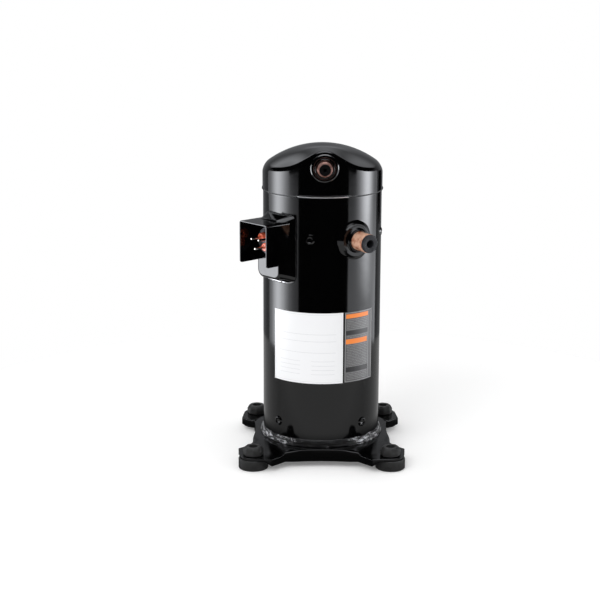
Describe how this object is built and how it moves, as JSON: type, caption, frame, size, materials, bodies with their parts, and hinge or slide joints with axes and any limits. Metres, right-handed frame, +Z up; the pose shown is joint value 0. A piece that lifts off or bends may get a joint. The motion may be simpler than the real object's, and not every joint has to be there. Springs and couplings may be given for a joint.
{
  "type": "scroll compressor",
  "caption": "Hermetic scroll compressor: tall welded shell on a footed base with rubber grommets, copper stubs, fenced terminals and a complete scroll pump and motor inside.",
  "frame": {"origin": "centre of the square of mounting holes, on the ground under the grommets", "axes": "+Z up along the shaft, -Y towards the discharge stub and the middle of the front, +X right, with the suction stub between +X and -Y"},
  "size_m": [0.234, 0.234, 0.441],
  "materials": {
    "black_paint": "glossy black enamel",
    "weld": "bare weld bead under thin paint",
    "grommet_rubber": "matt moulded rubber",
    "plug_rubber": "matt moulded rubber",
    "copper": "bare copper, drawn",
    "terminal_steel": "dark plated steel",
    "insulator": "red insulator",
    "pin_steel": "plated pin",
    "block_plastic": "moulded plastic",
    "paper_white": "white film sticker",
    "paper_grey": "dark grey film sticker with orange bands",
    "cast_iron": "machined cast iron",
    "machined_iron": "fine machined cast iron",
    "pressed_steel": "pressed steel sheet",
    "ground_steel": "ground steel",
    "bearing_bronze": "bronze bush",
    "valve_brass": "turned brass",
    "seal_composite": "seal composite",
    "lamination": "stacked laminations",
    "cast_aluminium": "die-cast aluminium",
    "magnet_wire": "enamelled copper wire, laced and varnished",
    "magnet_ferrite": "ferrite"
  },
  "bodies": {
    "housing": {"base_plate": "black_paint", "grommets": "grommet_rubber", "lower_shell": "black_paint", "lower_weld": "weld", "center_shell": "black_paint", "weld_plugs": "black_paint", "upper_weld": "black_paint", "top_cap": "black_paint", "discharge_fitting": "black_paint", "discharge_stub": "copper", "suction_collar": "black_paint", "suction_stub": "copper", "terminal_pad": "black_paint", "terminal_fence": "black_paint", "terminal_body": "terminal_steel", "terminal_insulators": "insulator", "terminal_pins": "pin_steel", "terminal_block": "block_plastic", "sticker_white": "paper_white", "sticker_grey": "paper_grey", "partition_plate": "pressed_steel", "relief_valve": "valve_brass", "valve_guard": "pressed_steel", "fixed_scroll": "machined_iron", "scroll_bolts": "ground_steel", "main_housing": "cast_iron", "main_bearing": "bearing_bronze", "suction_baffle": "pressed_steel", "stator_core": "lamination", "stator_winding": "magnet_wire", "motor_protector": "block_plastic", "lower_bracket": "cast_iron", "lower_bearing": "bearing_bronze", "thrust_washer": "ground_steel", "sump_magnet": "magnet_ferrite"},
    "suction_plug": {"suction_plug": "plug_rubber"},
    "discharge_plug": {"discharge_plug": "plug_rubber"},
    "floating_seal": {"floating_seal": "seal_composite"},
    "check_valve": {"valve_disc": "ground_steel"},
    "orbiting": {"orbiting_scroll": "machined_iron", "drive_bearing": "bearing_bronze"},
    "oldham": {"oldham_ring": "cast_aluminium"},
    "drive_pin": {"drive_pin": "ground_steel"},
    "crank": {"crankshaft": "ground_steel", "drive_bush": "ground_steel", "upper_counterweight": "cast_iron", "rotor_core": "lamination", "rotor_end_rings": "cast_aluminium", "lower_counterweight": "cast_iron", "oil_pickup": "pressed_steel"}
  },
  "joints": [
    {"name": "shaft_spin", "type": "hinge", "parent": "housing", "child": "crank", "pos_m": [0, 0, 0.2], "axis": [0, 0, 1], "continuous": true},
    {"name": "scroll_orbit", "type": "hinge", "parent": "crank", "child": "orbiting", "pos_m": [0.0042, 0, 0.2], "axis": [0, 0, 1], "continuous": true},
    {"name": "pin_roll", "type": "hinge", "parent": "crank", "child": "drive_pin", "pos_m": [0.0021, 0, 0.2], "axis": [0, 0, 1], "continuous": true},
    {"name": "oldham_travel", "type": "hinge", "parent": "drive_pin", "child": "oldham", "pos_m": [0.0042, 0, 0.2], "axis": [0, 0, 1], "continuous": true},
    {"name": "valve_lift", "type": "slide", "parent": "housing", "child": "check_valve", "axis": [0, 0, 1], "range_m": [0, 0.0025]},
    {"name": "seal_float", "type": "slide", "parent": "housing", "child": "floating_seal", "axis": [0, 0, 1], "range_m": [0, 0.0007]},
    {"name": "suction_plug_pull", "type": "slide", "parent": "housing", "child": "suction_plug", "axis": [0.5344, -0.8453, 0], "range_m": [0, 0.03]},
    {"name": "discharge_plug_pull", "type": "slide", "parent": "housing", "child": "discharge_plug", "axis": [0.0175, -0.9998, 0], "range_m": [0, 0.025]}
  ],
  "couplings": [
    {"joint": "scroll_orbit", "follows": "shaft_spin", "ratio": -1},
    {"joint": "pin_roll", "follows": "shaft_spin", "ratio": -2},
    {"joint": "oldham_travel", "follows": "shaft_spin", "ratio": 1}
  ]
}
